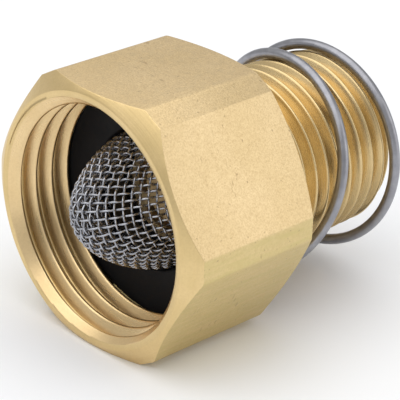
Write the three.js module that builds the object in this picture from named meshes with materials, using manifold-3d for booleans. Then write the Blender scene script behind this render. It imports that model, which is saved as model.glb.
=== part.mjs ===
// Small in-line water pressure regulator for a caravan's fresh-water hose.
// A hexagon swivel nut with a 3/4 in hose thread turns on a brass outlet body with a 1/2 in pipe thread.
// A moulded cartridge inside the outlet body holds a hollow piston, its seat and its spring.
// Units are millimetres. Water flows along +X, Z points up and the nut rests on one of its flats.
import * as THREE from 'three';
import { mergeVertices } from 'three/addons/utils/BufferGeometryUtils.js';
import Module from 'manifold-3d';

const wasm = await Module();
wasm.setup();

// ---------------------------------------------------------------- driving dimensions
const TAU = 2 * Math.PI;
const FIT = 0.05; // gap between pieces that touch
const RUN = 0.1; // radial gap of a sliding or turning fit

// hexagon nut; x is measured from its inlet face
const NUT_FLATS = 28.8; // across flats
const NUT_LENGTH = 17.7;
const NUT_CORNER_CUT = 1.5; // length lost from each flat at a blunted corner
const NUT_FRONT_FACE_R = 13.95;
const NUT_FRONT_SLOPE = 0.69; // axial rise per radial millimetre of the front chamfer
const NUT_BACK_FACE_R = 14.2;
const NUT_BACK_SLOPE = 0.52;
const NUT_LIP_START = 13.8;
const NUT_LIP_R = 11.15; // hole that the outlet body turns in
const NUT_RELIEF_START = 8.1; // where the thread stops
const NUT_RELIEF_R = 13.3;
const NUT_MOUTH_R = 13.3;
const NUT_MOUTH_DEPTH = 1.1; // of the countersink that leads into the thread
const NUT_REACH = 20; // radius outside every corner

// female hose thread, 3/4-11.5 NH
const HOSE_PITCH = 25.4 / 11.5;
const HOSE_CREST_R = 12.2;
const HOSE_ROOT_R = 13.5;
const HOSE_FIRST_CREST = 1; // on the +Y side
const HOSE_PROFILE = [[0, 0], [0.12, 0], [0.5, 1], [0.62, 1]]; // height 0 is the crest, which points inwards

// outlet body and its male thread, 1/2-14 NPT
const PIPE_PITCH = 25.4 / 14;
const PIPE_DEPTH = 1.15;
const PIPE_PROFILE = [[0, 0], [0.1, 0], [0.49, 1], [0.61, 1]];
const PIPE_CREST = 0.55; // middle of the profile's crest
const THREAD_START = 18.82;
const THREAD_START_R = 10.55;
const THREAD_LEAD_IN = 0.3; // length over which the thread rises from the neck
const BODY_END = 35.85;
const THREAD_END_R = 10.04;
const THREAD_END_CHAMFER = 0.75;
const FLANGE_START = 11.25;
const FLANGE_END = 13.4;
const FLANGE_R = 12;
const SHANK_R = 10.85;
const NECK_R = 9.8;
const NECK_START = 17.1;
const NECK_SLOPE = 0.5; // length of the cone between shank and neck
const BORE_R = 8.2;
const BORE_CHAMFER = 0.3;
const RECESS_R = 9.3;
const RECESS_END = 12.5;

// hose washer and strainer
const WASHER_FRONT = 8.15;
const WASHER_R = 13.1;
const WASHER_HOLE_R = 7.7;
const WASHER_EDGE = 0.35; // bevel of its edges
const DOME_R = 7.6;
const DOME_NOSE = -1.15;
const DOME_POWER = 1.3; // fullness of the dome's shoulder
const DOME_SKIRT_END = 10.7;
const DOME_RINGS = 7; // rings of facets from the nose to the skirt
const DOME_SHARE = 1.6; // crowds the rings towards the skirt
const DOME_FACETS = 28;
const CLOTH = 0.35; // thickness
const CLOTH_HOLE = 1.5; // side of an opening between the wires
const CLOTH_STEP = 2.3;
const CLOTH_RIM = 1.4; // unpierced band inside the skirt
const FERRULE_START = 8.7;
const FERRULE_END = 10.8;
const FERRULE_R = 7.15;
const FERRULE_HOLE_R = 6.6;

// cartridge sleeve
const SLEEVE_R = 8.1;
const SLEEVE_END = 33.2;
const SLEEVE_FLANGE_R = 9.2;
const SLEEVE_FLANGE_END = 12.45;
const SPIDER_POCKET_R = 6;
const SPIDER_POCKET_END = 13.1;
const INLET_ROOM_R = 5.3;
const WEB_START = 14.6;
const WEB_END = 15.8;
const WEB_HOLE_R = 2.95;
const GLAND_R = 4.7;
const GLAND_END = 17.5;
const GLAND_WASHER = 0.8; // thickness
const CHAMBER_R = 6.6;
const SNAP_GROOVE_R = 7.25;
const SNAP_START = 31.1;
const SNAP_WIDTH = 0.8;
const SNAP_HOLE_R = 5.7;
const SNAP_GAP = 2.2; // between the ring's two ends
const SEAL_GROOVE_R = 7.05;
const SEAL_GROOVE_WIDTH = 1.7;
const SEAL_GROOVES = [15.4, 24.2];
const VENT_X = 18.8;
const VENT_R = 0.45;
const VENT_FACETS = 12;
const VENT_ANGLE = -0.8; // about the flow axis, from +Y towards +Z

// seat
const SPIDER_START = 11.4;
const SPIDER_END = 13;
const SPIDER_RING_HOLE_R = 4.9;
const SPIDER_HUB_R = 3.6;
const SPIDER_ARMS = 3;
const SPIDER_ARM_WIDTH = 1.4;
const SPIDER_ARM_HEIGHT = 1;
const SPIDER_ARM_OVERLAP = 0.3; // into the hub and into the ring
const PAD_R = 3.15;
const PAD_START = 12;
const PAD_END = 13.05;
const SCREW_R = 0.8;
const SCREW_HEAD_R = 1.4;
const SCREW_HEAD_HEIGHT = 0.6;
const SCREW_HEAD_SHARE = 0.6; // of its height and radius where the head's bevel begins and ends

// piston
const STEM_START = 13.8;
const STEM_CHAMFER = 0.35;
const STEM_R = 2.85;
const STEM_BORE_R = 1.9;
const HEAD_START = 26;
const HEAD_END = 31;
const HEAD_R = 6.5;
const HEAD_GROOVE_START = 27.6;
const HEAD_GROOVE_END = 29.4;
const HEAD_GROOVE_R = 5.2;
const FLARE_R = 4.4;
const FLARE_DEPTH = 2.6;
const SPRING_WASHER = 0.5; // thickness

// spring
const SPRING_WIRE = 1;
const SPRING_MEAN_R = 5.2;
const SPRING_START = 18.45;
const SPRING_END = 25.4;
const SPRING_TURNS = 4.5;
const CLOSED_TURNS = 0.9; // flattened turns at each end
const SPRING_CLEARANCE = 0.02; // between the flattened turns
const SPRING_GROUND = 0.1; // taken off each end

// loose wire coil: angle 0 is straight down, then towards -Y, up, and +Y; it hangs a little off the axis
const COIL_WIRE = 1.2;
const COIL_R_Y = 11.45;
const COIL_R_Z = 11.36;
const COIL_CENTRE_Y = -0.31;
const COIL_CENTRE_Z = -0.41;
const COIL_FIRST_ANGLE = 0.09 * Math.PI;
const COIL_LAST_ANGLE = 3.6 * Math.PI;
const COIL_REST_X = 34.38; // the turns draw together towards this place
const COIL_REACH = 17.75;
const COIL_DECAY = 0.363; // share of the reach lost per radian
const COIL_LEAN = 0.77; // how far the -Y side leans towards the outlet
const COIL_STEPS = 64;

// everything is shifted so that the origin is under the middle of the object, on the resting flat
const MIDDLE_X = (DOME_NOSE + BODY_END) / 2;
const AXIS_HEIGHT = NUT_FLATS / 2;

const THREAD_STEPS = 32; // columns in one turn of a thread
const ROUND = 36; // facets of the large turned pieces
const ROUND_SMALL = 24; // facets of the small turned pieces
const ROUND_FINE = 20; // facets of the screw
const SEAL_SIDES = 8; // facets round the section of a seal ring
const WIRE_SIDES = 8; // facets round the coil's wire
const SPRING_SIDES = 6;
const SPRING_STEPS = 14; // in one turn
const OVER = 1; // how far a cutting solid runs past what it cuts
const WELD = 1e-5; // corners closer than this are one corner

// ---------------------------------------------------------------- materials
function finish(color, roughness, metalness) {
  return () => new THREE.MeshStandardMaterial({ color, roughness, metalness });
}

const forgedBrass = finish(0xd9b87f, 0.5, 1);
const machinedBrass = finish(0xc9a05c, 0.32, 1);
const steel = finish(0x9a9aa2, 0.35, 1);
const rubber = finish(0x17171a, 0.75, 0);
const acetal = finish(0xe9e6dc, 0.45, 0);
const blackAcetal = finish(0x1c1c1e, 0.5, 0);

// ---------------------------------------------------------------- solids
function toManifold(geometry) {
  const plain = geometry.clone();
  plain.deleteAttribute('normal');
  plain.deleteAttribute('uv');
  const merged = mergeVertices(plain, WELD);
  const vertProperties = new Float32Array(merged.attributes.position.array);
  const index = merged.index.array;
  const corners = [];
  for (let i = 0; i < index.length; i += 3) {
    const [a, b, c] = index.slice(i, i + 3);
    if (a !== b && b !== c && c !== a) {
      corners.push(a, b, c);
    }
  }
  const triVerts = new Uint32Array(corners);
  return new wasm.Manifold(new wasm.Mesh({ numProp: 3, vertProperties, triVerts }));
}

function toGeometry(manifold) {
  const mesh = manifold.getMesh();
  const positions = new Float32Array(mesh.numVert * 3);
  for (let i = 0; i < mesh.numVert; i += 1) {
    for (let k = 0; k < 3; k += 1) {
      positions[3 * i + k] = mesh.vertProperties[mesh.numProp * i + k];
    }
  }
  const geometry = new THREE.BufferGeometry();
  geometry.setAttribute('position', new THREE.BufferAttribute(positions, 3));
  geometry.setIndex(new THREE.BufferAttribute(new Uint32Array(mesh.triVerts), 1));
  geometry.computeVertexNormals();
  return geometry;
}

// A solid of revolution about X from [x, r] points. The outline either starts and ends on the axis
// or is a ring that closes on itself, and it may run either way round.
function turned(points, facets = ROUND) {
  const outline = points.map(([x, r]) => new THREE.Vector2(r, x));
  const closed = points[0][1] > 0;
  if (closed) {
    outline.push(outline[0].clone());
  }
  const geometry = new THREE.LatheGeometry(outline, facets);
  geometry.rotateZ(-Math.PI / 2);
  const solid = toManifold(geometry);
  if (solid.volume() >= 0) {
    return solid;
  }
  geometry.index.array.reverse();
  return toManifold(geometry);
}

// A plain ring or disc between two x positions.
function ring(start, end, outer, inner = 0, facets = ROUND) {
  if (inner === 0) {
    return turned([[start, 0], [start, outer], [end, outer], [end, 0]], facets);
  }
  return turned([[start, inner], [start, outer], [end, outer], [end, inner]], facets);
}

// A seal ring of round section.
function sealRing(x, meanR, sectionR, facets = ROUND_SMALL) {
  const points = [];
  for (let i = 0; i < SEAL_SIDES; i += 1) {
    const angle = (TAU * (i + 0.5)) / SEAL_SIDES;
    points.push([x + sectionR * Math.cos(angle), meanR + sectionR * Math.sin(angle)]);
  }
  return turned(points, facets);
}

// A box from its low and high corners.
function block(low, high) {
  const size = high.map((value, i) => value - low[i]);
  const geometry = new THREE.BoxGeometry(...size);
  geometry.translate(...low.map((value, i) => value + size[i] / 2));
  return toManifold(geometry);
}

// A threaded rod along X. profile lists [fraction of a pitch, height between root 0 and crest 1];
// radiusAt(x) gives the root and crest radius there. The rod is cut square at start and end.
function threadedRod(start, end, pitch, profile, radiusAt) {
  const turns = Math.ceil((end - start) / pitch) + 2;
  const rows = turns * profile.length;
  const columns = THREAD_STEPS;
  const vertices = [];
  const push = (x, height, angle) => {
    const [root, crest] = radiusAt(Math.min(Math.max(x, start), end));
    const r = root + (crest - root) * height;
    vertices.push(x, r * Math.cos(angle), r * Math.sin(angle));
  };
  for (let j = 0; j < columns; j += 1) {
    for (let m = 0; m <= rows; m += 1) {
      const [fraction, height] = profile[m % profile.length];
      const turn = Math.floor(m / profile.length) + j / columns - 1;
      push(start + pitch * (turn + fraction), height, (TAU * j) / columns);
    }
  }
  const at = (j, m) => (j < columns ? j * (rows + 1) + m : m + profile.length);
  const triangles = [];
  const quad = (a, b, c, d) => triangles.push(a, b, c, a, c, d);
  for (let j = 0; j < columns; j += 1) {
    const last = j === columns - 1 ? rows - profile.length : rows;
    for (let m = 0; m < last; m += 1) {
      quad(at(j, m), at(j + 1, m), at(j + 1, m + 1), at(j, m + 1));
    }
  }
  const lowCentre = vertices.length / 3;
  vertices.push(start - pitch / 2, 0, 0);
  const highCentre = lowCentre + 1;
  vertices.push(end + 1.5 * pitch, 0, 0);
  for (let j = 0; j < columns; j += 1) {
    triangles.push(lowCentre, at(j + 1, 0), at(j, 0));
    const top = j === columns - 1 ? rows - profile.length : rows;
    triangles.push(highCentre, at(j, top), at(j + 1, top));
  }
  // each end is a fan round the axis; the helix leaves a step on the first and on the last column
  for (let m = 0; m < profile.length; m += 1) {
    triangles.push(lowCentre, at(0, m), at(0, m + 1));
    triangles.push(highCentre, at(columns - 1, rows - m), at(columns - 1, rows - m - 1));
  }
  const geometry = new THREE.BufferGeometry();
  geometry.setAttribute('position', new THREE.BufferAttribute(new Float32Array(vertices), 3));
  geometry.setIndex(triangles);
  return toManifold(geometry);
}

// A wire of round section along a curve.
function wireAlong(curve, diameter, steps, sides) {
  const section = new THREE.Shape();
  for (let i = 0; i < sides; i += 1) {
    const angle = (TAU * i) / sides;
    const point = [0.5 * diameter * Math.cos(angle), 0.5 * diameter * Math.sin(angle)];
    if (i === 0) {
      section.moveTo(...point);
    } else {
      section.lineTo(...point);
    }
  }
  section.closePath();
  return toManifold(new THREE.ExtrudeGeometry(section, { steps, extrudePath: curve, bevelEnabled: false }));
}

class FormulaCurve extends THREE.Curve {
  constructor(formula) {
    super();
    this.formula = formula;
  }

  getPoint(t, target = new THREE.Vector3()) {
    return target.set(...this.formula(t));
  }
}

// ---------------------------------------------------------------- the pieces
function hexagonPrism(start, end) {
  const shape = new THREE.Shape();
  const apothem = NUT_FLATS / 2;
  const half = apothem / Math.sqrt(3) - NUT_CORNER_CUT;
  for (let k = 0; k < 6; k += 1) {
    const angle = (TAU * k) / 6 + TAU / 12;
    for (const side of [-half, half]) {
      const y = apothem * Math.cos(angle) - side * Math.sin(angle);
      const z = apothem * Math.sin(angle) + side * Math.cos(angle);
      if (k === 0 && side < 0) {
        shape.moveTo(y, z);
      } else {
        shape.lineTo(y, z);
      }
    }
  }
  shape.closePath();
  const geometry = new THREE.ExtrudeGeometry(shape, { depth: end - start, bevelEnabled: false });
  // the outline lies in Y and Z, the prism grows along +X
  const turn = new THREE.Matrix4().set(0, 0, 1, start, 1, 0, 0, 0, 0, 1, 0, 0, 0, 0, 0, 1);
  geometry.applyMatrix4(turn);
  return toManifold(geometry);
}

function swivelNut() {
  const envelope = turned([
    [0, 0],
    [0, NUT_FRONT_FACE_R],
    [(NUT_REACH - NUT_FRONT_FACE_R) * NUT_FRONT_SLOPE, NUT_REACH],
    [NUT_LENGTH - (NUT_REACH - NUT_BACK_FACE_R) * NUT_BACK_SLOPE, NUT_REACH],
    [NUT_LENGTH, NUT_BACK_FACE_R],
    [NUT_LENGTH, 0],
  ]);
  const halfCrest = (HOSE_PROFILE[1][0] / 2) * HOSE_PITCH;
  const threadStart = HOSE_FIRST_CREST - halfCrest - HOSE_PITCH;
  const radii = () => [HOSE_CREST_R, HOSE_ROOT_R];
  const thread = threadedRod(threadStart, NUT_RELIEF_START + HOSE_PITCH, HOSE_PITCH, HOSE_PROFILE, radii)
    .intersect(ring(-OVER, NUT_RELIEF_START + FIT, NUT_REACH));
  const hollow = turned([
    [-OVER, 0],
    [-OVER, NUT_MOUTH_R],
    [0, NUT_MOUTH_R],
    [NUT_MOUTH_DEPTH, HOSE_CREST_R],
    [NUT_RELIEF_START, HOSE_CREST_R],
    [NUT_RELIEF_START, NUT_RELIEF_R],
    [NUT_LIP_START, NUT_RELIEF_R],
    [NUT_LIP_START, NUT_LIP_R],
    [NUT_LENGTH + OVER, NUT_LIP_R],
    [NUT_LENGTH + OVER, 0],
  ]);
  return hexagonPrism(0, NUT_LENGTH).intersect(envelope).subtract(hollow).subtract(thread);
}

function ventHole(from, to) {
  const geometry = new THREE.CylinderGeometry(VENT_R, VENT_R, to - from, VENT_FACETS);
  geometry.translate(0, (from + to) / 2, 0);
  geometry.rotateX(VENT_ANGLE);
  geometry.translate(VENT_X, 0, 0);
  return toManifold(geometry);
}

function outletBody() {
  const taper = (x) => {
    const share = (x - THREAD_START) / (BODY_END - THREAD_START);
    const crest = THREAD_START_R + share * (THREAD_END_R - THREAD_START_R);
    return [crest - PIPE_DEPTH, crest];
  };
  const firstRoot = THREAD_START - PIPE_CREST * PIPE_PITCH;
  const leadInStart = THREAD_START - THREAD_LEAD_IN;
  const thread = threadedRod(firstRoot, BODY_END, PIPE_PITCH, PIPE_PROFILE, taper).intersect(
    turned([
      [leadInStart, 0],
      [leadInStart, NECK_R],
      [leadInStart + THREAD_START_R - NECK_R, THREAD_START_R],
      [BODY_END - THREAD_END_CHAMFER, THREAD_START_R],
      [BODY_END - THREAD_END_CHAMFER, THREAD_END_R],
      [BODY_END, THREAD_END_R - THREAD_END_CHAMFER],
      [BODY_END, 0],
    ]),
  );
  const blank = turned([
    [FLANGE_START, 0],
    [FLANGE_START, FLANGE_R],
    [FLANGE_END, FLANGE_R],
    [FLANGE_END, SHANK_R],
    [NECK_START, SHANK_R],
    [NECK_START + NECK_SLOPE, NECK_R],
    [leadInStart + FIT, NECK_R],
    [leadInStart + FIT, 0],
  ]);
  const bore = turned([
    [FLANGE_START - OVER, 0],
    [FLANGE_START - OVER, RECESS_R],
    [RECESS_END, RECESS_R],
    [RECESS_END, BORE_R],
    [BODY_END - BORE_CHAMFER, BORE_R],
    [BODY_END + OVER, BORE_R + BORE_CHAMFER + OVER],
    [BODY_END + OVER, 0],
  ]);
  return blank.add(thread).subtract(bore).subtract(ventHole(BORE_R - OVER, THREAD_START_R + OVER));
}

function hoseWasher() {
  const end = FLANGE_START - FIT;
  return turned([
    [WASHER_FRONT, WASHER_HOLE_R + WASHER_EDGE],
    [WASHER_FRONT, WASHER_R - WASHER_EDGE],
    [WASHER_FRONT + WASHER_EDGE, WASHER_R],
    [end - WASHER_EDGE, WASHER_R],
    [end, WASHER_R - WASHER_EDGE],
    [end, WASHER_HOLE_R],
    [WASHER_FRONT + WASHER_EDGE, WASHER_HOLE_R],
  ]);
}

// Outline of the dome: a blunt nose that runs tangent into the skirt.
function domeOutline(radius, nose) {
  const points = [];
  const length = WASHER_FRONT - nose;
  for (let i = 0; i <= DOME_RINGS; i += 1) {
    const share = 1 - (i / DOME_RINGS) ** DOME_SHARE;
    points.push([WASHER_FRONT - share * length, radius * Math.sqrt(1 - share ** DOME_POWER)]);
  }
  return points;
}

function strainerDome() {
  let cloth = turned([
    ...domeOutline(DOME_R, DOME_NOSE),
    [DOME_SKIRT_END, DOME_R],
    [DOME_SKIRT_END, DOME_R - CLOTH],
    ...domeOutline(DOME_R - CLOTH, DOME_NOSE + CLOTH).reverse(),
  ], DOME_FACETS);
  const limit = DOME_R - CLOTH_RIM;
  const count = Math.ceil(limit / CLOTH_STEP);
  const half = CLOTH_HOLE / 2;
  for (let i = -count; i < count; i += 1) {
    for (let j = -count; j < count; j += 1) {
      const y = (i + 0.5) * CLOTH_STEP;
      const z = (j + 0.5) * CLOTH_STEP;
      if (Math.hypot(y, z) < limit) {
        const low = [DOME_NOSE - OVER, y - half, z - half];
        const high = [WASHER_FRONT - OVER, y + half, z + half];
        cloth = cloth.subtract(block(low, high));
      }
    }
  }
  return cloth;
}

function cartridgeSleeve() {
  let sleeve = turned([
    [FLANGE_START, SPIDER_POCKET_R],
    [FLANGE_START, SLEEVE_FLANGE_R],
    [SLEEVE_FLANGE_END, SLEEVE_FLANGE_R],
    [SLEEVE_FLANGE_END, SLEEVE_R],
    [SLEEVE_END, SLEEVE_R],
    [SLEEVE_END, CHAMBER_R],
    [SNAP_START + SNAP_WIDTH + FIT, CHAMBER_R],
    [SNAP_START + SNAP_WIDTH + FIT, SNAP_GROOVE_R],
    [SNAP_START - FIT, SNAP_GROOVE_R],
    [SNAP_START - FIT, CHAMBER_R],
    [GLAND_END, CHAMBER_R],
    [GLAND_END, GLAND_R],
    [WEB_END, GLAND_R],
    [WEB_END, WEB_HOLE_R],
    [WEB_START, WEB_HOLE_R],
    [WEB_START, INLET_ROOM_R],
    [SPIDER_POCKET_END, INLET_ROOM_R],
    [SPIDER_POCKET_END, SPIDER_POCKET_R],
  ]);
  for (const start of SEAL_GROOVES) {
    sleeve = sleeve.subtract(ring(start, start + SEAL_GROOVE_WIDTH, SLEEVE_R + OVER, SEAL_GROOVE_R));
  }
  return sleeve.subtract(ventHole(CHAMBER_R - OVER, SLEEVE_R + OVER));
}

function sleeveSeal(start) {
  const section = (BORE_R - SEAL_GROOVE_R) / 2 - FIT;
  return sealRing(start + SEAL_GROOVE_WIDTH / 2, (BORE_R + SEAL_GROOVE_R) / 2, section, ROUND);
}

function seatSpider() {
  let spider = ring(SPIDER_START, SPIDER_END, SPIDER_POCKET_R - FIT, SPIDER_RING_HOLE_R, ROUND_SMALL);
  spider = spider.add(ring(SPIDER_START, SPIDER_END, SPIDER_HUB_R, 0, ROUND_SMALL));
  const from = SPIDER_HUB_R - SPIDER_ARM_OVERLAP;
  const to = SPIDER_RING_HOLE_R + SPIDER_ARM_OVERLAP;
  for (let k = 0; k < SPIDER_ARMS; k += 1) {
    const arm = new THREE.BoxGeometry(SPIDER_ARM_HEIGHT, to - from, SPIDER_ARM_WIDTH);
    arm.translate(SPIDER_START + SPIDER_ARM_HEIGHT / 2, (from + to) / 2, 0);
    arm.rotateX((TAU * k) / SPIDER_ARMS + TAU / 4);
    spider = spider.add(toManifold(arm));
  }
  spider = spider.subtract(ring(PAD_START - FIT, SPIDER_END + OVER, PAD_R + FIT, 0, ROUND_SMALL));
  return spider.subtract(ring(SPIDER_START - OVER, PAD_START, SCREW_R + FIT, 0, ROUND_SMALL));
}

function seatScrew() {
  return turned([
    [SPIDER_START, 0],
    [SPIDER_START, SCREW_R],
    [PAD_END + FIT, SCREW_R],
    [PAD_END + FIT, SCREW_HEAD_R],
    [PAD_END + FIT + SCREW_HEAD_SHARE * SCREW_HEAD_HEIGHT, SCREW_HEAD_R],
    [PAD_END + FIT + SCREW_HEAD_HEIGHT, SCREW_HEAD_SHARE * SCREW_HEAD_R],
    [PAD_END + FIT + SCREW_HEAD_HEIGHT, 0],
  ], ROUND_FINE);
}

function piston() {
  return turned([
    [STEM_START, STEM_BORE_R],
    [STEM_START, STEM_R - STEM_CHAMFER],
    [STEM_START + STEM_CHAMFER, STEM_R],
    [HEAD_START, STEM_R],
    [HEAD_START, HEAD_R],
    [HEAD_GROOVE_START, HEAD_R],
    [HEAD_GROOVE_START, HEAD_GROOVE_R],
    [HEAD_GROOVE_END, HEAD_GROOVE_R],
    [HEAD_GROOVE_END, HEAD_R],
    [HEAD_END, HEAD_R],
    [HEAD_END, FLARE_R],
    [HEAD_END - FLARE_DEPTH, STEM_BORE_R],
  ]);
}

function pistonSeal() {
  const section = (CHAMBER_R - HEAD_GROOVE_R) / 2 - FIT;
  return sealRing((HEAD_GROOVE_START + HEAD_GROOVE_END) / 2, (CHAMBER_R + HEAD_GROOVE_R) / 2, section);
}

function stemSeal() {
  const section = (GLAND_R - STEM_R) / 2 - FIT;
  return sealRing((WEB_END + GLAND_END) / 2, (GLAND_R + STEM_R) / 2, section);
}

// A washer that slides on the piston's stem inside the chamber.
function stemWasher(start, thickness) {
  return ring(start, start + thickness, CHAMBER_R - RUN, STEM_R + RUN, ROUND_SMALL);
}

// An open ring, sprung into the sleeve's groove.
function outletSnapRing() {
  const end = SNAP_START + SNAP_WIDTH;
  const body = ring(SNAP_START, end, SNAP_GROOVE_R - RUN, SNAP_HOLE_R, ROUND_SMALL);
  const half = SNAP_GAP / 2;
  return body.subtract(block([SNAP_START - OVER, -half, 0], [end + OVER, half, SNAP_GROOVE_R + OVER]));
}

function regulatorSpring() {
  const low = SPRING_START + SPRING_WIRE / 2;
  const high = SPRING_END - SPRING_WIRE / 2;
  const closed = CLOSED_TURNS / SPRING_TURNS;
  const closedRise = CLOSED_TURNS * (SPRING_WIRE + SPRING_CLEARANCE);
  const formula = (t) => {
    let x = low + (closedRise * t) / closed;
    if (t > 1 - closed) {
      x = high - (closedRise * (1 - t)) / closed;
    } else if (t > closed) {
      const share = (t - closed) / (1 - 2 * closed);
      x = low + closedRise + share * (high - low - 2 * closedRise);
    }
    const angle = TAU * SPRING_TURNS * t;
    return [x, SPRING_MEAN_R * Math.cos(angle), SPRING_MEAN_R * Math.sin(angle)];
  };
  const steps = Math.round(SPRING_STEPS * SPRING_TURNS);
  const wire = wireAlong(new FormulaCurve(formula), SPRING_WIRE, steps, SPRING_SIDES);
  const outer = SPRING_MEAN_R + SPRING_WIRE;
  return wire.intersect(ring(SPRING_START + SPRING_GROUND, SPRING_END - SPRING_GROUND, outer + OVER));
}

function wireCoil() {
  const formula = (t) => {
    const angle = COIL_FIRST_ANGLE + t * (COIL_LAST_ANGLE - COIL_FIRST_ANGLE);
    return [
      COIL_REST_X - COIL_REACH * Math.exp(-COIL_DECAY * angle) + COIL_LEAN * Math.sin(angle),
      COIL_CENTRE_Y - COIL_R_Y * Math.sin(angle),
      COIL_CENTRE_Z - COIL_R_Z * Math.cos(angle),
    ];
  };
  return wireAlong(new FormulaCurve(formula), COIL_WIRE, COIL_STEPS, WIRE_SIDES);
}

// ---------------------------------------------------------------- assembly
const assembly = new THREE.Group();
assembly.position.set(-MIDDLE_X, 0, AXIS_HEIGHT);

function place(name, solid, material) {
  const mesh = new THREE.Mesh(toGeometry(solid), material());
  mesh.name = name;
  assembly.add(mesh);
}

place('swivel_nut', swivelNut(), forgedBrass);
place('outlet_body', outletBody(), machinedBrass);
place('hose_washer', hoseWasher(), rubber);
place('strainer_dome', strainerDome(), steel);
place('strainer_ferrule', ring(FERRULE_START, FERRULE_END, FERRULE_R, FERRULE_HOLE_R), blackAcetal);
place('cartridge_sleeve', cartridgeSleeve(), blackAcetal);
place('front_sleeve_o_ring', sleeveSeal(SEAL_GROOVES[0]), rubber);
place('rear_sleeve_o_ring', sleeveSeal(SEAL_GROOVES[1]), rubber);
place('seat_spider', seatSpider(), machinedBrass);
place('seat_pad', ring(PAD_START, PAD_END, PAD_R, SCREW_R + FIT, ROUND_SMALL), rubber);
place('seat_screw', seatScrew(), machinedBrass);
place('piston', piston(), acetal);
place('stem_o_ring', stemSeal(), rubber);
place('piston_o_ring', pistonSeal(), rubber);
place('gland_washer', stemWasher(GLAND_END + FIT, GLAND_WASHER), steel);
place('regulator_spring', regulatorSpring(), steel);
place('spring_washer', stemWasher(HEAD_START - FIT - SPRING_WASHER, SPRING_WASHER), steel);
place('outlet_snap_ring', outletSnapRing(), steel);
place('wire_coil', wireCoil(), steel);

export default assembly;
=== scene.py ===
import math

import bmesh
import bpy
import numpy as np
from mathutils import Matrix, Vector


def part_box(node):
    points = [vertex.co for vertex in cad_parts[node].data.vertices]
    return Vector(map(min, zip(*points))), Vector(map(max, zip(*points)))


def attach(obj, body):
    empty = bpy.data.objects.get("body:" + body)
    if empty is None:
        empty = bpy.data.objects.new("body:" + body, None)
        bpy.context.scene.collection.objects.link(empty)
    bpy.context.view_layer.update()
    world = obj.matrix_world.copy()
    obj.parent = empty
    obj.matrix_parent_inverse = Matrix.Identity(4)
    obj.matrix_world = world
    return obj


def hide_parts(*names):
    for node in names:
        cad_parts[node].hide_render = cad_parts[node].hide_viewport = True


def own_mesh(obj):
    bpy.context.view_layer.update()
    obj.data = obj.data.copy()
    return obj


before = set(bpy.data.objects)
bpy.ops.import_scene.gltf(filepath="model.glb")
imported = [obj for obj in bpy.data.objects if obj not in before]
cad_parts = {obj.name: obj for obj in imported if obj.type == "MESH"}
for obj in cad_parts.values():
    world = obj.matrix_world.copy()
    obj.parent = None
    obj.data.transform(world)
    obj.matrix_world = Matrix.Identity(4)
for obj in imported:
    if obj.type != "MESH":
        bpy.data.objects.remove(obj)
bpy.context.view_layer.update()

MM = 0.001
TAU = 2 * math.pi

# ---- places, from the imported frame
NUT_LOW, NUT_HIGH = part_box("swivel_nut")
BODY_LOW, BODY_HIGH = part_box("outlet_body")
WASHER_LOW, WASHER_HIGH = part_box("hose_washer")
DOME_LOW, DOME_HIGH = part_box("strainer_dome")
SPRING_LOW, SPRING_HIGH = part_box("regulator_spring")
INLET_X = NUT_LOW[0]
AXIS_Z = (NUT_LOW[2] + NUT_HIGH[2]) / 2


def along(x):
    """A place along the flow axis, in millimetres from the inlet face."""
    return (x - INLET_X) / MM


# ---- sizes, in millimetres
# A slope is millimetres along the axis for each millimetre of radius. The crest, root and ease of
# a thread are shares of its pitch. A count of columns, rows, sides or steps is a mesh's fineness.
NUT_LENGTH = along(NUT_HIGH[0])
NUT_FLATS = (NUT_HIGH[2] - NUT_LOW[2]) / MM
NUT_CORNER_CUT = 1.5
NUT_FRONT_FACE_R = 13.95
NUT_FRONT_SLOPE = 0.69
NUT_BACK_FACE_R = 14.2
NUT_BACK_SLOPE = 0.52
NUT_CHAMFER_LEAST = 0.02
NUT_LIP_START = 13.8
NUT_LIP_R = 11.15
NUT_LIP_CHAMFER = 0.25
NUT_RELIEF_START = 8.1
NUT_RELIEF_R = 13.3
NUT_MOUTH_R = 13.3
NUT_MOUTH_DEPTH = 1.1
NUT_OUTER_EASE = 0.08
NUT_HEXAGON_EASE = 0.06
NUT_LIP_EASE = 0.06
NUT_INNER_EASE = 0.1
FACET_EASE_CRISP = 0.01
FACET_EASE_SOFT = 0.16
FACET_COLUMNS = 56
BAND_COLUMNS = 14
EDGE_COLUMN = 0.003  # radians from the edge
NUT_THREAD_ROWS = 26
FACE_TOLERANCE = 0.02
SLANTED_NORMAL = 0.2  # the least lean of a chamfer's normal along the axis

HOSE_PITCH = 25.4 / 11.5
HOSE_CREST_R = 12.2
HOSE_ROOT_R = 13.5
HOSE_FIRST_CREST = 1.0
HOSE_CREST = 0.12
HOSE_ROOT = 0.08
HOSE_EASE = 0.055

PIPE_PITCH = 25.4 / 14
PIPE_DEPTH = 1.15
PIPE_CREST = 0.1
PIPE_ROOT = 0.14
PIPE_EASE = 0.045
PIPE_THREAD_ROWS = 24
PIPE_COLUMNS = 360
THREAD_START = 18.82
THREAD_START_R = 10.55
THREAD_LEAD_IN = 0.3
THREAD_END_R = 10.04
THREAD_END_CHAMFER = 0.75
BODY_END = along(BODY_HIGH[0])
FLANGE_START = along(BODY_LOW[0])
FLANGE_END = 13.4
FLANGE_R = (BODY_HIGH[2] - BODY_LOW[2]) / 2 / MM
SHANK_R = 10.85
NECK_START = 17.1
NECK_SLOPE = 0.5
NECK_R = 9.8
BORE_R = 8.2
BORE_CHAMFER = 0.3
RECESS_R = 9.3
RECESS_END = 12.5
BODY_EASE_OUTSIDE = 0.12
BODY_EASE_INSIDE = 0.08

WASHER_FRONT = along(WASHER_LOW[0])
WASHER_END = along(WASHER_HIGH[0])
WASHER_R = (WASHER_HIGH[2] - WASHER_LOW[2]) / 2 / MM
WASHER_HOLE_R = 7.7
WASHER_HOLE_FLARE = 0.1
WASHER_EASE = 0.3

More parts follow.
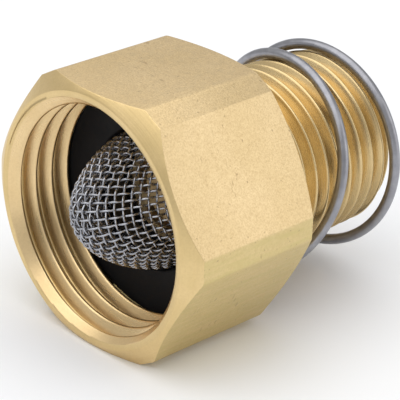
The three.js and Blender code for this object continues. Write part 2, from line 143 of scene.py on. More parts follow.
DOME_R = (DOME_HIGH[2] - DOME_LOW[2]) / 2 / MM
DOME_NOSE = along(DOME_LOW[0])
DOME_END = along(DOME_HIGH[0])
DOME_POWER = 1.3
CLOTH_WIRE = 0.25
CLOTH_PITCH = 0.9
CLOTH_TURN = math.radians(-18)
CLOTH_SKIRT_GAP = 0.1
CLOTH_SIDES = 7
CLOTH_STEPS = 6
CLOTH_LEAST_POINTS = 5
CLOTH_SLOPE_STEP = 0.05
MERIDIAN_POINTS = 400
SKIRT_POINTS = 20

SPRING_START = along(SPRING_LOW[0])
SPRING_END = along(SPRING_HIGH[0])
SPRING_WIRE = 1.0
SPRING_MEAN_R = 5.2
SPRING_TURNS = 4.5
SPRING_CLOSED_TURNS = 0.9
SPRING_CLEARANCE = 0.02
SPRING_GROUND = 0.1
SPRING_SIDES = 14

COIL_WIRE = 1.2
COIL_R_Y = 11.45
COIL_R_Z = 11.36
COIL_CENTRE_Y = -0.31
COIL_CENTRE_Z = -0.41
COIL_FIRST_ANGLE = 0.09 * math.pi
COIL_LAST_ANGLE = 3.6 * math.pi
COIL_REST_X = 34.38
COIL_REACH = 17.75
COIL_DECAY = 0.363
COIL_LEAN = 0.77
COIL_SIDES = 20

# painted shade: the nut's lower half is darkened to an olive tone, fading in from the first height
# to the second, in metres
PAINTED_SHADE_TOP = 0.0158
PAINTED_SHADE_BOTTOM = 0.0155

# the camera, aimed at a point given in millimetres from the inlet face on the flow axis
CAMERA_AIM = (8.275, -7.883, 2.906)
CAMERA_AZIMUTH = -44.403
CAMERA_ELEVATION = 25.811
CAMERA_ROLL = 2.05
CAMERA_DISTANCE = 203.38
CAMERA_LENS = 179.27
CAMERA_SENSOR = 36
CAMERA_CLIP = 0.01

# the studio, in metres
FLOOR_SIZE = 6.0
WORLD_STRENGTH = 0.58


# ---- mesh helpers
WELD_DISTANCE = 2e-8  # metres


def make_object(name, vertices, faces):
    """A mesh object from millimetres measured from the inlet face on the flow axis."""
    points = np.asarray(vertices, dtype=float) * MM
    points[:, 0] += INLET_X
    points[:, 2] += AXIS_Z
    mesh = bpy.data.meshes.new(name)
    mesh.from_pydata(points.tolist(), [], faces)
    work = bmesh.new()
    work.from_mesh(mesh)
    bmesh.ops.remove_doubles(work, verts=work.verts, dist=WELD_DISTANCE)
    bmesh.ops.recalc_face_normals(work, faces=work.faces)
    work.to_mesh(mesh)
    work.free()
    mesh.shade_smooth()
    obj = bpy.data.objects.new(name, mesh)
    bpy.context.scene.collection.objects.link(obj)
    return obj


def revolve(name, angles, profile_at):
    """A closed ring whose section may change with the angle.
    profile_at(angle) lists the section's points (x, r) in order round it."""
    rings = [np.array(profile_at(angle)) for angle in angles]
    rows = len(rings[0])
    vertices = []
    for angle, section in zip(angles, rings):
        x, r = section[:, 0], section[:, 1]
        vertices.append(np.column_stack([x, r * math.cos(angle), r * math.sin(angle)]))
    faces = []
    for j in range(len(angles) - 1):
        for i in range(rows):
            k = (i + 1) % rows
            faces.append((j * rows + i, (j + 1) * rows + i, (j + 1) * rows + k, j * rows + k))
    return make_object(name, np.vstack(vertices), faces)


LONGEST_EASE = 0.45  # of the length of an outline's side


def rounded(points, radius, steps=3, closed=True):
    """The points of an outline, with each corner replaced by a small curve.
    radius is about the size of the curve: one number, or one for each point."""
    points = [np.array(p, dtype=float) for p in points]
    count = len(points)
    radii = radius if isinstance(radius, (list, tuple)) else [radius] * count
    result = []
    for i, point in enumerate(points):
        if radii[i] == 0 or (not closed and i in (0, count - 1)):
            result.append(point)
            continue
        before = points[i - 1] - point
        after = points[(i + 1) % count] - point
        reach = min(
            radii[i], LONGEST_EASE * np.linalg.norm(before), LONGEST_EASE * np.linalg.norm(after))
        start = point + before / np.linalg.norm(before) * reach
        end = point + after / np.linalg.norm(after) * reach
        for s in range(steps + 1):
            t = s / steps
            result.append((1 - t) ** 2 * start + 2 * t * (1 - t) * point + t * t * end)
    return result


def even_angles(count):
    return [TAU * i / count for i in range(count + 1)]


def turned(name, points, ease, columns=160):
    """A closed ring with one eased section all round."""
    section = rounded(points, ease)
    return revolve(name, even_angles(columns), lambda angle: section)


def smooth_least(a, b, blend):
    """The smaller of two lengths, eased where they are nearly equal."""
    gap = max(blend - abs(a - b), 0.0) / blend
    return min(a, b) - gap * gap * blend / 4


def thread_height(fraction, crest, root, ease):
    """Height of a thread, from 0 at the root to 1 at the crest, whose middle is at fraction 0.
    crest, root and ease are shares of the pitch. The flanks are straight, with eased ends."""
    distance = abs((fraction + 0.5) % 1.0 - 0.5)
    flank = (1 - crest - root) / 2
    height = (crest / 2 + flank - distance) / flank
    return -smooth_least(-smooth_least(height, 1.0, ease / flank), 0.0, ease / flank)


def thread_rows(angle, start, end, pitch, rows_per_pitch):
    """Places along the axis that follow the helix, held between start and end."""
    first = start - pitch + pitch * (angle / TAU)
    count = int(math.ceil((end - start) / pitch) + 1) * rows_per_pitch
    return [min(max(first + pitch * i / rows_per_pitch, start), end) for i in range(count + 1)]


CAP_LENGTH = 0.35  # of the wire's radius
CAP_FACE = 0.72  # of the wire's radius


def tube(points, radius, sides=12, cap_rings=3):
    """Vertices and faces of a round wire along the points, with softly rounded cut ends."""
    points = np.asarray(points, dtype=float)
    tangents = np.gradient(points, axis=0)
    tangents /= np.linalg.norm(tangents, axis=1)[:, None]
    helper = np.array([0.0, 0.0, 1.0]) if abs(tangents[0][2]) < 0.9 else np.array([0.0, 1.0, 0.0])
    normal = np.cross(tangents[0], helper)
    sections = []
    for point, tangent in zip(points, tangents):
        normal = normal - np.dot(normal, tangent) * tangent
        normal /= np.linalg.norm(normal)
        sections.append((point, 1.0, normal, np.cross(tangent, normal)))
    cap = CAP_LENGTH * radius
    for end, inwards in ((0, 1), (-1, -1)):
        point, _, normal, binormal = sections[end]
        rounded_end = []
        for k in range(cap_rings):
            t = k / cap_rings
            centre = point + inwards * tangents[end] * cap * t * t
            scale = CAP_FACE + (1 - CAP_FACE) * math.sin(t * math.pi / 2)
            rounded_end.append((centre, scale, normal, binormal))
        if end == 0:
            sections = rounded_end + sections[1:]
        else:
            sections = sections[:-1] + rounded_end[::-1]
    vertices = []
    for centre, scale, normal, binormal in sections:
        for s in range(sides):
            angle = TAU * s / sides
            outwards = math.cos(angle) * normal + math.sin(angle) * binormal
            vertices.append(centre + radius * scale * outwards)
    rings = len(sections)
    faces = []
    for i in range(rings - 1):
        for s in range(sides):
            t = (s + 1) % sides
            low, high = i * sides, (i + 1) * sides
            faces.append((low + s, low + t, high + t, high + s))
    faces.append(tuple(range(sides)))
    faces.append(tuple((rings - 1) * sides + s for s in reversed(range(sides))))
    return vertices, faces


def merge(parts):
    """One vertex and face list from several."""
    vertices, faces = [], []
    for part_vertices, part_faces in parts:
        base = len(vertices)
        vertices.extend(part_vertices)
        faces.extend(tuple(base + i for i in face) for face in part_faces)
    return vertices, faces


# ---- material helpers
class Graph:
    """A node material, built a node at a time."""

    def __init__(self, name):
        self.material = bpy.data.materials.new(name)
        self.material.use_nodes = True
        self.nodes = self.material.node_tree.nodes
        self.links = self.material.node_tree.links
        self.shader = self.nodes["Principled BSDF"]
        self.position = self.add("ShaderNodeTexCoord").outputs["Object"]

    def add(self, kind, **settings):
        node = self.nodes.new(kind)
        for key, value in settings.items():
            setattr(node, key, value)
        return node

    def feed(self, socket, value):
        if isinstance(value, bpy.types.NodeSocket):
            self.links.new(value, socket)
        else:
            socket.default_value = value

    def noise(self, scale, detail=4.0, roughness=0.55, stretch=None):
        node = self.add("ShaderNodeTexNoise")
        self.feed(node.inputs["Vector"], self.stretched(stretch) if stretch else self.position)
        self.feed(node.inputs["Scale"], scale)
        self.feed(node.inputs["Detail"], detail)
        self.feed(node.inputs["Roughness"], roughness)
        return node.outputs["Fac"]

    def stretched(self, scale):
        node = self.add("ShaderNodeMapping")
        self.feed(node.inputs["Vector"], self.position)
        self.feed(node.inputs["Scale"], scale)
        return node.outputs["Vector"]

    def math(self, operation, a, b=0.0):
        node = self.add("ShaderNodeMath", operation=operation)
        self.feed(node.inputs[0], a)
        self.feed(node.inputs[1], b)
        return node.outputs[0]

    def ramp(self, value, low, high, start=0.0, end=1.0):
        node = self.add("ShaderNodeMapRange")
        self.feed(node.inputs["Value"], value)
        self.feed(node.inputs["From Min"], low)
        self.feed(node.inputs["From Max"], high)
        self.feed(node.inputs["To Min"], start)
        self.feed(node.inputs["To Max"], end)
        return node.outputs["Result"]

    def mix(self, factor, a, b):
        node = self.add("ShaderNodeMix", data_type="RGBA", blend_type="MIX")
        self.feed(node.inputs["Factor"], factor)
        self.feed(node.inputs["A"], a)
        self.feed(node.inputs["B"], b)
        return node.outputs["Result"]

    def bump(self, height, distance, strength=1.0, normal=None):
        node = self.add("ShaderNodeBump")
        self.feed(node.inputs["Height"], height)
        self.feed(node.inputs["Distance"], distance)
        self.feed(node.inputs["Strength"], strength)
        if normal is not None:
            self.feed(node.inputs["Normal"], normal)
        return node.outputs["Normal"]

    def height(self):
        """Height above the floor at rest, in metres."""
        split = self.add("ShaderNodeSeparateXYZ")
        self.feed(split.inputs[0], self.position)
        return split.outputs["Z"]

    def radial(self):
        """Distance from the flow axis and place along it, in metres."""
        split = self.add("ShaderNodeSeparateXYZ")
        self.feed(split.inputs[0], self.position)
        height = self.math("SUBTRACT", split.outputs["Z"], AXIS_Z)
        square = self.math("MULTIPLY", height, height)
        sideways = self.math("MULTIPLY", split.outputs["Y"], split.outputs["Y"])
        return self.math("SQRT", self.math("ADD", square, sideways)), split.outputs["X"]

    def finish(self, **inputs):
        for name, value in inputs.items():
            self.feed(self.shader.inputs[name.replace("_", " ")], value)
        return self.material


def colour(red, green, blue):
    return (red, green, blue, 1.0)


BLASTED_GRAIN = colour(0.60, 0.43, 0.22)
TURNED_GRAIN = colour(0.55, 0.38, 0.19)
BRASS_STAIN = colour(0.60, 0.44, 0.26)
# the colour of the painted shade on the nut's lower half
BRASS_PAINTED_SHADE = colour(0.64, 0.525, 0.235)
BRASS_SPECK = colour(0.40, 0.28, 0.16)
BRASS_NICK = colour(0.42, 0.29, 0.15)
# a small share of an axis draws the noise out along it; X is the flow axis
ALONG_STREAKS = (0.10, 1.0, 1.0)
ACROSS_NICKS = (1.0, 0.25, 0.25)
RING_SLANT = 0.35


def blasted_brass():
    """Brass blasted matt: fine grain, specks, stains, nicks where handled, and painted shade, olive
    and streaked, on the lower half.
    """
    g = Graph("blasted_brass")
    broad = g.noise(140.0, detail=3.0)
    grain = g.noise(5200.0, detail=3.0, roughness=0.7)
    fine = g.noise(2100.0, roughness=0.6)
    specks = g.ramp(g.noise(2600.0, detail=2.0, roughness=0.4), 0.70, 0.76)
    stains = g.ramp(g.noise(420.0, detail=5.0, roughness=0.65), 0.60, 0.75)
    dark, light = colour(0.80, 0.615, 0.340), colour(0.85, 0.660, 0.380)
    base = g.mix(g.ramp(broad, 0.35, 0.65), dark, light)
    base = g.mix(g.ramp(grain, 0.42, 0.62, 0.0, 0.5), base, BLASTED_GRAIN)
    base = g.mix(g.math("MULTIPLY", stains, 0.18), base, BRASS_STAIN)
    streaked = g.noise(1500.0, roughness=0.6, stretch=ALONG_STREAKS)
    streaks = g.ramp(streaked, 0.35, 0.65, 0.45, 0.85)
    # painted shade: below the given heights the brass turns olive and darker, in streaks
    painted_underside_shade = g.ramp(g.height(), PAINTED_SHADE_TOP, PAINTED_SHADE_BOTTOM)
    base = g.mix(g.math("MULTIPLY", painted_underside_shade, streaks), base, BRASS_PAINTED_SHADE)
    base = g.mix(g.math("MULTIPLY", specks, 0.55), base, BRASS_SPECK)
    scratched = g.noise(2300.0, detail=2.0, roughness=0.5, stretch=ACROSS_NICKS)
    nicks = g.ramp(scratched, 0.64, 0.70)
    handled = g.ramp(g.noise(150.0, detail=2.0), 0.54, 0.62)
    nicked = g.math("MULTIPLY", nicks, g.math("MULTIPLY", handled, 0.45))
    base = g.mix(nicked, base, BRASS_NICK)
    rough = g.ramp(fine, 0.3, 0.7, 0.40, 0.52)
    normal = g.bump(grain, 0.00005, 0.6, g.bump(fine, 0.00008, 0.35))
    return g.finish(Base_Color=base, Metallic=1.0, Roughness=rough, Normal=normal)


def turned_brass(name, light, dark, rough_range, line_scale, line_depth):
    """Brass cut on a lathe: fine rings round the flow axis."""
    g = Graph(name)
    r, x = g.radial()
    rings = g.add("ShaderNodeCombineXYZ")
    g.feed(rings.inputs["X"], g.math("MULTIPLY", g.math("ADD", r, x), line_scale))
    g.feed(rings.inputs["Y"], g.math("MULTIPLY", r, RING_SLANT * line_scale))
    noise = g.add("ShaderNodeTexNoise")
    g.feed(noise.inputs["Vector"], rings.outputs[0])
    g.feed(noise.inputs["Scale"], 1.0)
    g.feed(noise.inputs["Detail"], 4.0)
    lines = noise.outputs["Fac"]
    broad = g.noise(210.0, detail=3.0)
    grain = g.noise(4200.0, detail=3.0, roughness=0.65)
    base = g.mix(g.ramp(broad, 0.35, 0.65), light, dark)
    base = g.mix(g.ramp(grain, 0.4, 0.75, 0.0, 0.22), base, TURNED_GRAIN)
    rough = g.ramp(lines, 0.3, 0.7, *rough_range)
    normal = g.bump(lines, line_depth, 0.5, g.bump(grain, 0.00003, 0.25))
    return g.finish(Base_Color=base, Metallic=1.0, Roughness=rough, Normal=normal)


def drawn_steel(name, light, dark, rough_range):
    """Drawn wire and stamped steel: faint clouds and a fine uneven gloss."""
    g = Graph(name)
    cloud = g.noise(900.0)
    fine = g.noise(6000.0, detail=3.0, roughness=0.7)
    base = g.mix(g.ramp(cloud, 0.35, 0.65), light, dark)
    rough = g.ramp(fine, 0.3, 0.7, *rough_range)
    normal = g.bump(fine, 0.00002, 0.4)
    return g.finish(Base_Color=base, Metallic=1.0, Roughness=rough, Normal=normal)


def moulded_rubber():
    g = Graph("moulded_rubber")
    cloud = g.noise(300.0)
    fine = g.noise(3500.0, roughness=0.65)
    base = g.mix(cloud, colour(0.006, 0.0055, 0.006), colour(0.013, 0.012, 0.0125))
    rough = g.ramp(cloud, 0.3, 0.7, 0.6, 0.78)
    normal = g.bump(fine, 0.00004, 0.5)
    return g.finish(
        Base_Color=base, Metallic=0.0, Roughness=rough, Specular_IOR_Level=0.3, Normal=normal)


def moulded_acetal(name, light, dark):
    g = Graph(name)
    cloud = g.noise(260.0, detail=3.0)
    fine = g.noise(2600.0, roughness=0.6)
    base = g.mix(cloud, light, dark)
    rough = g.ramp(fine, 0.3, 0.7, 0.38, 0.52)
    normal = g.bump(fine, 0.00002, 0.35)
    return g.finish(Base_Color=base, Metallic=0.0, Roughness=rough, Normal=normal)


def floor_paper():
    g = Graph("floor_paper")
    cloud = g.noise(8.0, detail=3.0)
    base = g.mix(cloud, colour(0.88, 0.89, 0.91), colour(0.91, 0.92, 0.94))
    return g.finish(Base_Color=base, Metallic=0.0, Roughness=0.8)


BLASTED = blasted_brass()
CHAMFER_BRASS = turned_brass(
    "chamfer_brass", light=colour(0.79, 0.600, 0.305), dark=colour(0.73, 0.55, 0.265),
    rough_range=(0.34, 0.46), line_scale=5200.0, line_depth=0.00003)
MOUTH_BRASS = turned_brass(
    "mouth_brass", light=colour(0.85, 0.640, 0.350), dark=colour(0.79, 0.585, 0.305),
    rough_range=(0.25, 0.35), line_scale=6500.0, line_depth=0.000007)
THREAD_BRASS = turned_brass(
    "thread_brass", light=colour(0.73, 0.560, 0.295), dark=colour(0.66, 0.495, 0.250),
    rough_range=(0.22, 0.32), line_scale=6500.0, line_depth=0.000007)
# painted light: a lighter copy of the turned brass for the seat spider and screw, which little
# light reaches, so they show through the cloth
LIGHTENED_SEAT_BRASS = turned_brass(
    "seat_brass_painted_light", light=colour(0.95, 0.71, 0.40), dark=colour(0.91, 0.66, 0.35),
    rough_range=(0.45, 0.60), line_scale=5200.0, line_depth=0.00002)
COIL_STEEL = drawn_steel(
    "coil_steel", light=colour(0.36, 0.36, 0.385), dark=colour(0.29, 0.29, 0.315),
    rough_range=(0.28, 0.40))
CLOTH_STEEL = drawn_steel(
    "cloth_steel", light=colour(0.49, 0.50, 0.535), dark=colour(0.385, 0.395, 0.43),
    rough_range=(0.20, 0.32))
SPRING_STEEL = drawn_steel(
    "spring_steel", light=colour(0.58, 0.58, 0.60), dark=colour(0.48, 0.48, 0.50),
    rough_range=(0.25, 0.38))
RUBBER = moulded_rubber()
WHITE_ACETAL = moulded_acetal(
    "white_acetal", light=colour(0.86, 0.84, 0.79), dark=colour(0.80, 0.78, 0.72))
BLACK_ACETAL = moulded_acetal(
    "black_acetal", light=colour(0.022, 0.022, 0.024), dark=colour(0.012, 0.012, 0.013))


def dress(obj, body, slot, replaced, *materials):
    """Gives a piece its materials and its body, and hides the CAD nodes that it replaces. slot is
    not used.
    """
    for material in materials:
        obj.data.materials.append(material)
    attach(obj, body)
    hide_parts(*replaced)


# ---- swivel nut
def hexagon_radius(angle):
    """Radius of the blunted hexagon; one facet in two meets its corner bands with a crisp line."""
    apothem = NUT_FLATS / 2
    sector = math.floor(angle / (TAU / 6))
    offset = angle - (sector + 0.5) * TAU / 6
    flat = apothem / math.cos(offset)
    band = (apothem / math.cos(TAU / 12) - NUT_CORNER_CUT / 2) / math.cos(TAU / 12 - abs(offset))
    crisp = sector % 2 == 0
    return smooth_least(flat, band, FACET_EASE_CRISP if crisp else FACET_EASE_SOFT)


def span_angles(start, end, columns):
    """Even columns over a facet or a band, with one close to each edge to keep it crisp."""
    even = [start + (end - start) * i / columns for i in range(columns)]
    return [start, start + EDGE_COLUMN] + even[1:] + [end - EDGE_COLUMN]


def hexagon_angles():
    """Columns that fall exactly on the hexagon's edges."""
    apothem = NUT_FLATS / 2
    half = math.atan((apothem * math.tan(TAU / 12) - NUT_CORNER_CUT) / apothem)
    angles = []
    for sector in range(6):
        centre = (sector + 0.5) * TAU / 6
        next_start = centre + TAU / 6 - half
        angles += span_angles(centre - half, centre + half, FACET_COLUMNS)
        angles += span_angles(centre + half, next_start, BAND_COLUMNS)
    angles.append(angles[0] + TAU)
    return angles


def nut_bore_radius(x, angle):
    """Radius of the threaded mouth: the thread, opened by the countersink."""
    fraction = (x - HOSE_FIRST_CREST) / HOSE_PITCH - angle / TAU
    height = thread_height(fraction, HOSE_CREST, HOSE_ROOT, HOSE_EASE)
    thread = HOSE_ROOT_R - (HOSE_ROOT_R - HOSE_CREST_R) * height
    cone = NUT_MOUTH_R - (NUT_MOUTH_R - HOSE_CREST_R) * x / NUT_MOUTH_DEPTH
    return max(thread, cone)


def nut_section(angle):
    """The nut's section: the outside, the lip and the relief, then the threaded mouth."""
    outer = hexagon_radius(angle % TAU)
    front = max(outer - NUT_FRONT_FACE_R, NUT_CHAMFER_LEAST) * NUT_FRONT_SLOPE
    back = NUT_LENGTH - max(outer - NUT_BACK_FACE_R, NUT_CHAMFER_LEAST) * NUT_BACK_SLOPE
    corners = [
        (0.0, NUT_MOUTH_R, 0.0),
        (0.0, NUT_FRONT_FACE_R, NUT_OUTER_EASE),
        (front, outer, NUT_HEXAGON_EASE),
        (back, outer, NUT_HEXAGON_EASE),
        (NUT_LENGTH, NUT_BACK_FACE_R, NUT_OUTER_EASE),
        (NUT_LENGTH, NUT_LIP_R + NUT_LIP_CHAMFER, NUT_LIP_EASE),
        (NUT_LENGTH - NUT_LIP_CHAMFER, NUT_LIP_R, NUT_LIP_EASE),
        (NUT_LIP_START, NUT_LIP_R, NUT_INNER_EASE),
        (NUT_LIP_START, NUT_RELIEF_R, NUT_INNER_EASE),
        (NUT_RELIEF_START, NUT_RELIEF_R, 0.0),
    ]
    outside = rounded([(x, r) for x, r, _ in corners], [ease for _, _, ease in corners])
    rows = thread_rows(angle - NUT_START_ANGLE, 0.0, NUT_RELIEF_START, HOSE_PITCH, NUT_THREAD_ROWS)
    inside = [(x, nut_bore_radius(x, angle)) for x in reversed(rows)]
    return outside[1:] + inside


NUT_ANGLES = hexagon_angles()
NUT_START_ANGLE = NUT_ANGLES[0]


def build_nut():
    obj = revolve("swivel_nut_forging", NUT_ANGLES, nut_section)
    mesh = obj.data
    for material in (BLASTED, CHAMFER_BRASS, MOUTH_BRASS):
        mesh.materials.append(material)
    chamfer_slot, mouth_slot = 1, 2
    front, back = FACE_TOLERANCE, NUT_LENGTH - FACE_TOLERANCE
    for polygon in mesh.polygons:
        x = along(polygon.center[0])
        r = math.hypot(polygon.center[1], polygon.center[2] - AXIS_Z) / MM
        slanted = abs(polygon.normal[0]) > SLANTED_NORMAL
        if r < NUT_MOUTH_R - FACE_TOLERANCE and front < x < back:
            polygon.material_index = mouth_slot
        elif slanted or x < front or x > back:
            polygon.material_index = chamfer_slot
    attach(obj, "nut")
    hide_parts("swivel_nut")


build_nut()


# ---- outlet body
def pipe_radius(x, angle):
    share = (x - THREAD_START) / (BODY_END - THREAD_START)
    crest = THREAD_START_R + share * (THREAD_END_R - THREAD_START_R)
    fraction = (x - THREAD_START) / PIPE_PITCH - angle / TAU
    thread = crest - PIPE_DEPTH * (1 - thread_height(fraction, PIPE_CREST, PIPE_ROOT, PIPE_EASE))
    run_in = NECK_R + x - THREAD_START + THREAD_LEAD_IN
    run_out = THREAD_END_R - THREAD_END_CHAMFER + BODY_END - x
    return min(thread, max(run_in, NECK_R), run_out)


def outlet_section(angle):
    rows = thread_rows(angle, THREAD_START - THREAD_LEAD_IN, BODY_END, PIPE_PITCH, PIPE_THREAD_ROWS)
    thread = [(x, pipe_radius(x, angle)) for x in rows]
    before = [
        (FLANGE_START, RECESS_R),
        (FLANGE_START, FLANGE_R),
        (FLANGE_END, FLANGE_R),
        (FLANGE_END, SHANK_R),
        (NECK_START, SHANK_R),
        (NECK_START + NECK_SLOPE, NECK_R),
    ]
    after = [
        (BODY_END, BORE_R + BORE_CHAMFER),
        (BODY_END - BORE_CHAMFER, BORE_R),
        (RECESS_END, BORE_R),
        (RECESS_END, RECESS_R),
    ]
    start = rounded(before + [thread[0]], BODY_EASE_OUTSIDE, closed=False)[:-1]
    end = rounded([thread[-1]] + after + [before[0]], BODY_EASE_INSIDE, closed=False)[1:-1]
    return start + thread + end


dress(revolve("outlet_body_turning", even_angles(PIPE_COLUMNS), outlet_section),
      "regulator_body", "machined_brass", ["outlet_body"], THREAD_BRASS)

# ---- hose washer
dress(turned("hose_washer_moulding", [
    (WASHER_FRONT, WASHER_HOLE_R + WASHER_HOLE_FLARE),
    (WASHER_FRONT, WASHER_R),
    (WASHER_END, WASHER_R),
    (WASHER_END, WASHER_HOLE_R),
], WASHER_EASE), "regulator_body", "black_rubber", ["hose_washer"], RUBBER)


# ---- woven strainer
def dome_meridian():
    """Arc length, place and radius along the dome from its nose to the end of its skirt."""
    nose = DOME_NOSE + CLOTH_WIRE
    radius = DOME_R - CLOTH_WIRE
    share = 1 - np.linspace(0, 1, MERIDIAN_POINTS) ** 2
    x = WASHER_FRONT - share * (WASHER_FRONT - nose)
    r = radius * np.sqrt(np.clip(1 - share ** DOME_POWER, 0, 1))
    skirt = np.linspace(WASHER_FRONT, DOME_END - CLOTH_SKIRT_GAP, SKIRT_POINTS)[1:]
    x = np.concatenate([x, skirt])
    r = np.concatenate([r, np.full(len(skirt), radius)])
    arc = np.concatenate([[0], np.cumsum(np.hypot(np.diff(x), np.diff(r)))])
    return arc, x, r


MERIDIAN = dome_meridian()


def cloth_point(u, v, lift):
    """A point of the wire cloth: (u, v) on the flat cloth, lifted off its middle surface."""
    arc, xs, rs = MERIDIAN
    distance = math.hypot(u, v)
    if distance > arc[-1]:
        return None
    x = np.interp(distance, arc, xs)
    r = np.interp(distance, arc, rs)
    before, after = max(distance - CLOTH_SLOPE_STEP, 0), distance + CLOTH_SLOPE_STEP
    dx = np.interp(after, arc, xs) - np.interp(before, arc, xs)
    dr = np.interp(after, arc, rs) - np.interp(before, arc, rs)
    size = math.hypot(dx, dr)
    dx, dr = dx / size, dr / size
    x -= lift * dr
    r += lift * dx
    around = math.atan2(v, u) + CLOTH_TURN
    return (x, r * math.cos(around), r * math.sin(around))


def woven_strainer():
    """Two families of wires that cross at right angles, over and under in turn."""
    count = int(MERIDIAN[0][-1] / CLOTH_PITCH)
    last_step = (count + 1) * CLOTH_STEPS
    parts = []
    for family in (0, 1):
        for i in range(-count, count + 1):
            fixed = (i + 0.5) * CLOTH_PITCH
            sign = 1 if (i + family) % 2 == 0 else -1
            points = []
            for k in range(-last_step, last_step + 1):
                run = k * CLOTH_PITCH / CLOTH_STEPS
                phase = math.pi * (run / CLOTH_PITCH - 0.5)
                lift = sign * 0.5 * CLOTH_WIRE * math.cos(phase)
                u, v = (fixed, run) if family == 0 else (run, fixed)
                point = cloth_point(u, v, lift)
                if point is not None:
                    points.append(point)
            if len(points) >= CLOTH_LEAST_POINTS:
                parts.append(tube(points, CLOTH_WIRE / 2, CLOTH_SIDES, cap_rings=1))
    return make_object("strainer_cloth", *merge(parts))


dress(woven_strainer(), "regulator_body", "wire_cloth", ["strainer_dome"], CLOTH_STEEL)


# ---- loose wire coil
def coil_points(steps=300):
    """The coil's centre line: a little under two turns, wider apart near the nut."""
    points = []
    for i in range(steps + 1):
        angle = COIL_FIRST_ANGLE + (COIL_LAST_ANGLE - COIL_FIRST_ANGLE) * i / steps
        points.append((
            COIL_REST_X - COIL_REACH * math.exp(-COIL_DECAY * angle) + COIL_LEAN * math.sin(angle),
            COIL_CENTRE_Y - COIL_R_Y * math.sin(angle),
            COIL_CENTRE_Z - COIL_R_Z * math.cos(angle),
        ))
    return points


dress(make_object("wire_coil_turns", *tube(coil_points(), COIL_WIRE / 2, COIL_SIDES)),
      "coil", "steel_wire", ["wire_coil"], COIL_STEEL)


# ---- regulator spring
def spring_points(steps_per_turn=28):
    """The spring's centre line: closed turns at both ends and an open pitch between them."""
    low = SPRING_START - SPRING_GROUND + SPRING_WIRE / 2
    high = SPRING_END + SPRING_GROUND - SPRING_WIRE / 2
    rise = SPRING_CLOSED_TURNS * (SPRING_WIRE + SPRING_CLEARANCE)
    turns = [0, SPRING_CLOSED_TURNS, SPRING_TURNS - SPRING_CLOSED_TURNS, SPRING_TURNS]
    places = [low, low + rise, high - rise, high]
    count = int(steps_per_turn * SPRING_TURNS)
    points = []
    for i in range(count + 1):
        turn = SPRING_TURNS * i / count
        angle = TAU * turn
        x = float(np.interp(turn, turns, places))
        points.append((x, SPRING_MEAN_R * math.cos(angle), SPRING_MEAN_R * math.sin(angle)))
    return points


def build_spring():
    """Its ends are ground flat. The real spring shortens as the piston closes; this mesh has one
    length.
    """
    vertices, faces = tube(spring_points(), SPRING_WIRE / 2, SPRING_SIDES)
    vertices = np.array(vertices)
    vertices[:, 0] = np.clip(vertices[:, 0], SPRING_START, SPRING_END)
    spring = make_object("regulator_spring_wire", vertices, faces)
    dress(spring, "regulator_body", "spring_steel", ["regulator_spring"], SPRING_STEEL)
    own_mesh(spring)


build_spring()

# ---- pieces that keep their CAD shape
CAD_MATERIALS = {
    "strainer_ferrule": BLACK_ACETAL,
    "cartridge_sleeve": BLACK_ACETAL,
    "front_sleeve_o_ring": RUBBER,
    "rear_sleeve_o_ring": RUBBER,
    "seat_spider": LIGHTENED_SEAT_BRASS,
    "seat_pad": RUBBER,
    "seat_screw": LIGHTENED_SEAT_BRASS,
    "piston": WHITE_ACETAL,
    "stem_o_ring": RUBBER,
    "piston_o_ring": RUBBER,
    "gland_washer": SPRING_STEEL,
    "spring_washer": SPRING_STEEL,
    "outlet_snap_ring": SPRING_STEEL,
}
for node, material in CAD_MATERIALS.items():
    for cad_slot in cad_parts[node].material_slots:
        cad_slot.material = material


# ---- floor, camera and light
def flat_square(name, size, material):
    mesh = bpy.data.meshes.new(name)
    half = size / 2
    corners = [(-half, -half, 0), (half, -half, 0), (half, half, 0), (-half, half, 0)]
    mesh.from_pydata(corners, [], [(0, 1, 2, 3)])
    mesh.materials.append(material)
    return bpy.data.objects.new(name, mesh)


def make_floor():
    floor = flat_square("floor", FLOOR_SIZE, floor_paper())
    bpy.context.scene.collection.objects.link(floor)


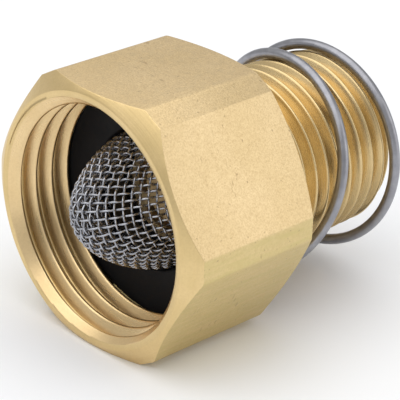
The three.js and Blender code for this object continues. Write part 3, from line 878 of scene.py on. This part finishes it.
def make_camera():
    azimuth, elevation = math.radians(CAMERA_AZIMUTH), math.radians(CAMERA_ELEVATION)
    back = Vector((
        math.sin(azimuth) * math.cos(elevation),
        -math.cos(azimuth) * math.cos(elevation),
        math.sin(elevation),
    ))
    aim = Vector((INLET_X, 0, AXIS_Z)) + Vector(CAMERA_AIM) * MM
    data = bpy.data.cameras.new("camera")
    data.lens = CAMERA_LENS
    data.sensor_width = CAMERA_SENSOR
    data.clip_start = CAMERA_CLIP
    camera = bpy.data.objects.new("camera", data)
    camera.location = aim + back * CAMERA_DISTANCE * MM
    camera.rotation_euler = back.to_track_quat("Z", "Y").to_euler()
    camera.rotation_euler.rotate_axis("Z", math.radians(CAMERA_ROLL))
    bpy.context.scene.collection.objects.link(camera)
    bpy.context.scene.camera = camera


def facing(obj, direction, distance):
    """Places a lamp or a card at a distance from the object and turns it to face the object."""
    away = Vector(direction).normalized()
    obj.location = Vector((0, 0, AXIS_Z)) + away * distance
    obj.rotation_euler = away.to_track_quat("Z", "Y").to_euler()
    bpy.context.scene.collection.objects.link(obj)


def make_light(name, direction, distance, size, radiance):
    """A square lamp that is equally bright to look at whatever its size."""
    data = bpy.data.lights.new(name, "AREA")
    data.shape = "SQUARE"
    data.size = size
    data.energy = radiance * math.pi * size * size
    facing(bpy.data.objects.new(name, data), direction, distance)


def make_card(name, direction, distance, size, shade):
    """A flat dark card that the polished surfaces mirror."""
    g = Graph(name)
    cloud = g.noise(6.0, detail=3.0)
    base = g.mix(cloud, colour(shade, shade, shade), colour(1.3 * shade, 1.25 * shade, 1.2 * shade))
    paint = g.finish(Base_Color=base, Metallic=0.0, Roughness=0.9)
    card = flat_square(name, size, paint)
    facing(card, direction, distance)


def make_world():
    world = bpy.data.worlds.new("studio")
    world.use_nodes = True
    background = world.node_tree.nodes["Background"]
    background.inputs["Color"].default_value = (1.0, 1.0, 1.0, 1.0)
    background.inputs["Strength"].default_value = WORLD_STRENGTH
    bpy.context.scene.world = world


make_floor()
make_camera()
make_world()
make_light("key", direction=(0.63, -0.72, 0.36), distance=0.55, size=0.40, radiance=0.92)
make_light("top", direction=(-0.22, 0.10, 1.0), distance=0.75, size=1.3, radiance=1.18)
make_card("dark_card", direction=(-0.985, -0.16, 0.03), distance=0.45, size=0.13, shade=0.05)
bpy.context.scene.view_settings.view_transform = "Standard"
